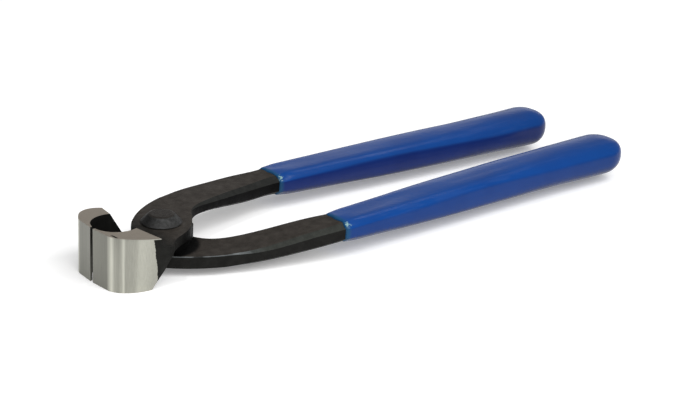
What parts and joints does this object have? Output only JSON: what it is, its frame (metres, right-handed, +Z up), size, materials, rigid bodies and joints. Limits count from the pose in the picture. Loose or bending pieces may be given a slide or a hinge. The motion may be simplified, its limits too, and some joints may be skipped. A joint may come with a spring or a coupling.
{
  "type": "running pliers",
  "caption": "Riveted lap-joint pincers with two wide C-shaped jaws that meet at a narrow slot round an open throat, and two long dipped handles.",
  "frame": {"origin": "under the middle of the tool, level with the foot of the jaws, with the tool lying flat", "axes": "+X from the jaws to the handle ends, +Y towards the upper lever's handle, +Z up along the hinge axis"},
  "size_m": [0.22, 0.0623, 0.0186],
  "materials": {
    "forged_steel": "black phosphated drop-forged steel, matt, with the jaws ground to bright satin steel",
    "rivet_steel": "black phosphated steel, slight sheen",
    "dipped_vinyl": "soft dip-moulded vinyl, semi-gloss"
  },
  "bodies": {
    "lower_half": {"lower_lever": "forged_steel", "pivot_rivet": "rivet_steel", "lower_grip": "dipped_vinyl"},
    "upper_half": {"upper_lever": "forged_steel", "upper_grip": "dipped_vinyl"}
  },
  "joints": [
    {"name": "jaw_hinge", "type": "hinge", "parent": "lower_half", "child": "upper_half", "pos_m": [-0.0835, 0, 0.0093], "axis": [0, 0, 1], "range_deg": [-3.1, 36]}
  ]
}
